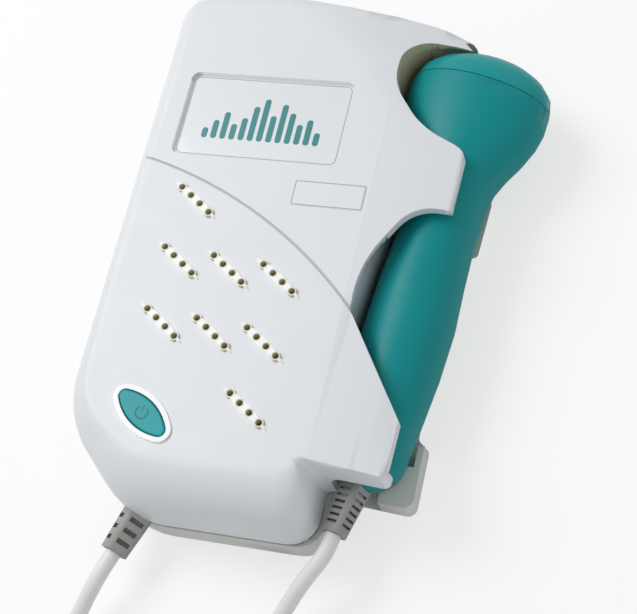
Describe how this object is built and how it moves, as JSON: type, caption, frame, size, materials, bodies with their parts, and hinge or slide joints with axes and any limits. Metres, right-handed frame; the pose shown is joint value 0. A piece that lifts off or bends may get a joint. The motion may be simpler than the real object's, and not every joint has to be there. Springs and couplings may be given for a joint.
{
  "type": "fetal doppler",
  "caption": "Pocket fetal doppler with its ultrasound probe docked in the side holder and its lead coiled at the foot of the unit.",
  "frame": {"origin": "on the table, under the middle of the unit and its docked probe, leads left out", "axes": "+X to the probe side, +Y to the window end of the unit, +Z out of the front face"},
  "size_m": [0.104, 0.2502, 0.0293],
  "materials": {
    "white_shell": "satin moulded ABS",
    "window_print": "printed window",
    "teal_button": "gloss",
    "black_plastic": "matte",
    "green_board": "solder mask",
    "beige_cloth": "woven dust cloth",
    "dark_steel": "pressed",
    "black_paper": "paper cone",
    "steel": "plated",
    "cell_wrap": "shrink wrap",
    "can": "can",
    "grey_wheel": "ribbed",
    "grey_rubber": "matte",
    "teal_shell": "high gloss",
    "teal_cap": "high gloss",
    "cream_plastic": "matte",
    "ceramic": "silvered ceramic",
    "white_lead": "soft vinyl"
  },
  "bodies": {
    "main_unit": {"front_shell": "white_shell", "rear_shell": "white_shell", "window_panel": "window_print", "power_switch": "black_plastic", "switch_board": "green_board", "speaker_cloth": "beige_cloth", "speaker_frame": "dark_steel", "speaker_cone": "black_paper", "speaker_magnet": "steel", "battery_cells": "cell_wrap", "battery_springs": "steel", "battery_contacts": "steel", "main_board": "green_board", "board_chips": "black_plastic", "capacitors": "can", "volume_pot": "black_plastic", "earphone_socket": "black_plastic", "housing_screws": "steel", "board_screws": "steel", "unit_strain_relief": "grey_rubber", "unit_lead": "white_lead", "lead_coil": "white_lead", "probe_lead": "white_lead"},
    "probe": {"probe_front_shell": "teal_shell", "probe_rear_shell": "teal_shell", "probe_face_cap": "teal_cap", "crystal_carrier": "cream_plastic", "probe_crystals": "ceramic", "acoustic_backing": "black_plastic", "probe_board": "green_board", "probe_strain_relief": "grey_rubber"},
    "power_button": {"power_button": "teal_button"},
    "volume_wheel": {"volume_wheel": "grey_wheel"},
    "battery_door": {"battery_door": "white_shell"}
  },
  "joints": [
    {"name": "probe_swing", "type": "hinge", "parent": "main_unit", "child": "probe", "pos_m": [0.02469, -0.04885, 0.014], "axis": [0, 0, -1], "range_deg": [0, 10], "deforming": ["probe_strain_relief"]},
    {"name": "power_press", "type": "slide", "parent": "main_unit", "child": "power_button", "axis": [0, 0, -1], "range_m": [0, 0.0008], "stiffness_N_per_m": 900, "springref_m": -0.0003},
    {"name": "volume_turn", "type": "hinge", "parent": "main_unit", "child": "volume_wheel", "pos_m": [-0.04441, 0.02734, 0.014], "axis": [0, 0, 1], "range_deg": [0, 270]},
    {"name": "battery_door_slide", "type": "slide", "parent": "main_unit", "child": "battery_door", "axis": [0, -1, 0], "range_m": [0, 0.012]}
  ]
}
